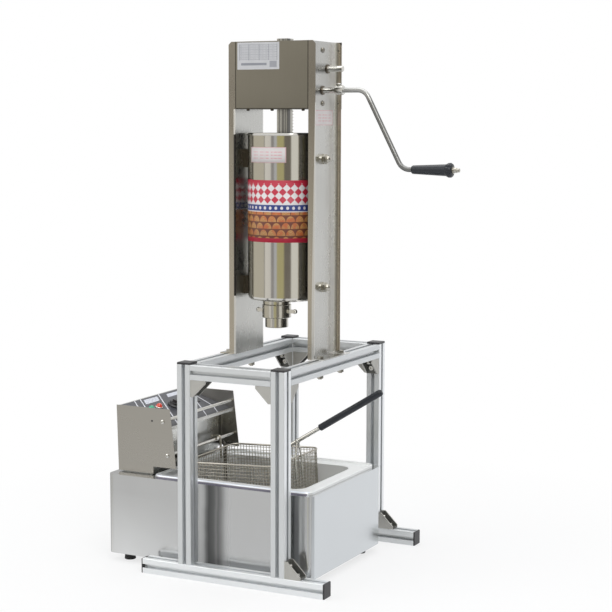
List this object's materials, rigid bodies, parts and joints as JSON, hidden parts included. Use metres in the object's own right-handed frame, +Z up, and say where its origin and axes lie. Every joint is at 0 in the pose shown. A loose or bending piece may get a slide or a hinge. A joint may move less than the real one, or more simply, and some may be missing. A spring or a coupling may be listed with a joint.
{
  "type": "churro maker",
  "caption": "Manual churro maker: vertical rack-and-pinion dough press with a side crank on a slotted aluminium stand, and a countertop fryer with a wire basket below",
  "frame": {"origin": "on the worktop, under the middle of the whole machine's outline", "axes": "+X along the front towards the crank, +Y to the back of the stand, +Z up along the press"},
  "size_m": [0.7062, 0.474, 1.079],
  "materials": {
    "anodised_aluminium": "satin anodised",
    "black_plastic": "moulded",
    "cast_bracket": "die-cast, tumbled",
    "folded_steel": "brushed stainless sheet",
    "bright_steel": "mirror-polished stainless",
    "machined_steel": "machined",
    "zinc_fastener": "zinc plated",
    "guide_nylon": "machined nylon",
    "bronze_bush": "sintered bronze",
    "seal_rubber": "food-grade rubber",
    "black_rubber": "moulded",
    "turned_aluminium": "turned",
    "grip_black": "moulded, fine grain",
    "fryer_steel": "brushed stainless sheet",
    "panel_black": "dark overlay on steel",
    "element_steel": "heat-tinted tube",
    "lamp_lens": "clear coloured lens",
    "switch_black": "moulded",
    "basket_wire": "plated wire"
  },
  "bodies": {
    "stand": {"post_front_left": "anodised_aluminium", "post_front_right": "anodised_aluminium", "post_back_left": "anodised_aluminium", "post_back_right": "anodised_aluminium", "top_rail_front": "anodised_aluminium", "top_rail_back": "anodised_aluminium", "top_rail_left": "anodised_aluminium", "top_rail_right": "anodised_aluminium", "base_beam_front": "anodised_aluminium", "base_beam_back": "anodised_aluminium", "profile_end_caps": "black_plastic", "corner_brackets": "cast_bracket", "column_left": "folded_steel", "column_right": "folded_steel", "column_fasteners": "zinc_fastener", "gearbox_front_panel": "folded_steel", "gearbox_rear_panel": "folded_steel", "gearbox_top_plate": "folded_steel", "gearbox_bottom_plate": "folded_steel", "bearing_plate": "folded_steel", "shaft_bushes": "bronze_bush", "rack_guides": "guide_nylon", "gearbox_screws": "zinc_fastener", "cylinder": "bright_steel", "cylinder_lugs": "fryer_steel", "cylinder_pins": "zinc_fastener", "outlet_neck": "bright_steel", "nozzle": "bright_steel", "die_plate": "bright_steel"},
    "ram": {"toothed_rack": "machined_steel", "piston_plate": "turned_aluminium", "piston_seal": "seal_rubber", "piston_nut": "zinc_fastener"},
    "gear_train": {"drive_shaft": "machined_steel", "rack_pinion": "machined_steel", "large_gear": "machined_steel"},
    "crank": {"crank_shaft": "machined_steel", "slow_pinion": "machined_steel", "crank_hub": "turned_aluminium", "crank_thumbscrew": "zinc_fastener", "crank_arm": "bright_steel", "crank_grip_bolt": "zinc_fastener"},
    "crank_handle": {"crank_grip": "grip_black"},
    "union": {"union_ring": "bright_steel"},
    "fryer": {"fryer_case": "fryer_steel", "case_base": "fryer_steel", "rubber_feet": "black_rubber", "oil_tank": "fryer_steel", "head_housing": "fryer_steel", "control_panel": "panel_black", "switch_bezel": "switch_black", "indicator_lamps": "lamp_lens", "head_bars": "bright_steel", "heating_element": "element_steel", "cord_gland": "black_rubber"},
    "basket": {"fry_basket": "basket_wire", "basket_handle": "basket_wire", "basket_grip": "grip_black"},
    "knob": {"thermostat_knob": "switch_black"},
    "rocker": {"power_switch": "switch_black"}
  },
  "joints": [
    {"name": "rack_slide", "type": "slide", "parent": "stand", "child": "ram", "axis": [0, 0, 1], "range_m": [0, 0.332]},
    {"name": "drive_shaft_turn", "type": "hinge", "parent": "stand", "child": "gear_train", "pos_m": [-0.02897, 0.0185, 1.018], "axis": [1, 0, 0], "range_deg": [-1590.2, 0]},
    {"name": "crank_turn", "type": "hinge", "parent": "stand", "child": "crank", "pos_m": [0.08503, -0.004, 0.97475], "axis": [1, 0, 0], "range_deg": [0, 3103.3]},
    {"name": "crank_grip_spin", "type": "hinge", "parent": "crank", "child": "crank_handle", "pos_m": [0.25253, -0.004, 0.81875], "axis": [1, 0, 0], "continuous": true},
    {"name": "union_ring_turn", "type": "hinge", "parent": "stand", "child": "union", "pos_m": [-0.02897, -0.04, 0.5142], "axis": [0, 0, 1], "range_deg": [0, 70]},
    {"name": "fryer_pull_out", "type": "slide", "parent": "stand", "child": "fryer", "axis": [1, 0, 0], "range_m": [0, 0.25]},
    {"name": "basket_lift", "type": "slide", "parent": "fryer", "child": "basket", "axis": [0.5299, 0, 0.848], "range_m": [0, 0.125]},
    {"name": "thermostat_turn", "type": "hinge", "parent": "fryer", "child": "knob", "pos_m": [-0.28197, -0.022, 0.30599], "axis": [0.2718, 0, 0.9624], "range_deg": [0, 300]},
    {"name": "power_rocker", "type": "hinge", "parent": "fryer", "child": "rocker", "pos_m": [-0.28197, 0.047, 0.30599], "axis": [0.9624, 0, -0.2718], "range_deg": [-16, 0]}
  ],
  "couplings": [
    {"joint": "drive_shaft_turn", "follows": "rack_slide", "rad_per_m": -83.333},
    {"joint": "crank_turn", "follows": "rack_slide", "rad_per_m": 162.88}
  ]
}
